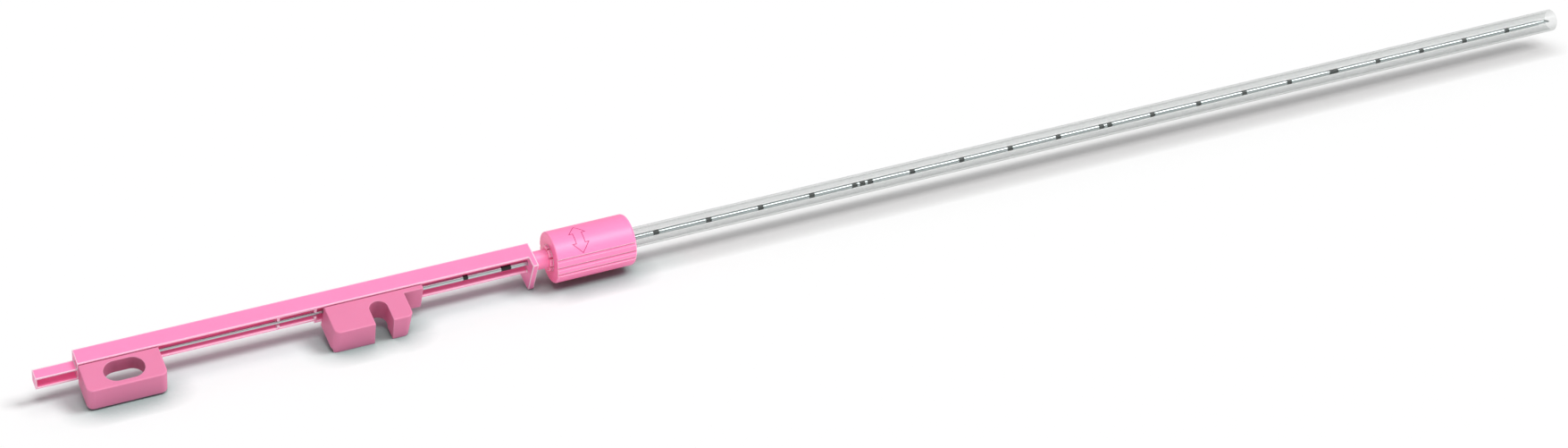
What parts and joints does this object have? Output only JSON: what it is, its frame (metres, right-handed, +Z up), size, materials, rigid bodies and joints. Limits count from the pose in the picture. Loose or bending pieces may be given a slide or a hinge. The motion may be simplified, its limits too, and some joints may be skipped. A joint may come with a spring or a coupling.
{
  "type": "biopsy needle",
  "caption": "Core biopsy needle set: marked cannula and notched stylet on two plastic hubs, held in a slim open spacer, with a twist-off cap and a clear tube over the needle.",
  "frame": {"origin": "on the table, under the middle of the bounding box of the set as it lies", "axes": "+X along the needle towards its tip, +Z up, -Y the side that the spacer opens to"},
  "size_m": [0.2994, 0.0112, 0.0101],
  "materials": {
    "pink_spacer": "satin moulded",
    "pink_cap": "satin moulded",
    "pink_hub": "fine matt moulded",
    "clear_tube": "clear extruded",
    "needle_steel": "ground"
  },
  "bodies": {
    "holder": {"spacer": "pink_spacer"},
    "guard": {"needle_guard_tube": "clear_tube"},
    "cap": {"twist_cap": "pink_cap"},
    "cutting_needle": {"cannula": "needle_steel", "cannula_hub": "pink_hub"},
    "inner_needle": {"stylet": "needle_steel", "stylet_hub": "pink_hub"}
  },
  "joints": [
    {"name": "guard_pull_off", "type": "slide", "parent": "holder", "child": "guard", "axis": [1, 0, 0], "range_m": [0, 0.235]},
    {"name": "cap_twist", "type": "hinge", "parent": "guard", "child": "cap", "pos_m": [-0.05298, 0.0011, 0.00556], "axis": [1, 0, 0], "continuous": true},
    {"name": "cannula_throw", "type": "slide", "parent": "holder", "child": "cutting_needle", "axis": [1, 0, 0], "range_m": [0, 0.0191]},
    {"name": "stylet_throw", "type": "slide", "parent": "holder", "child": "inner_needle", "axis": [1, 0, 0], "range_m": [0, 0.0198]}
  ]
}
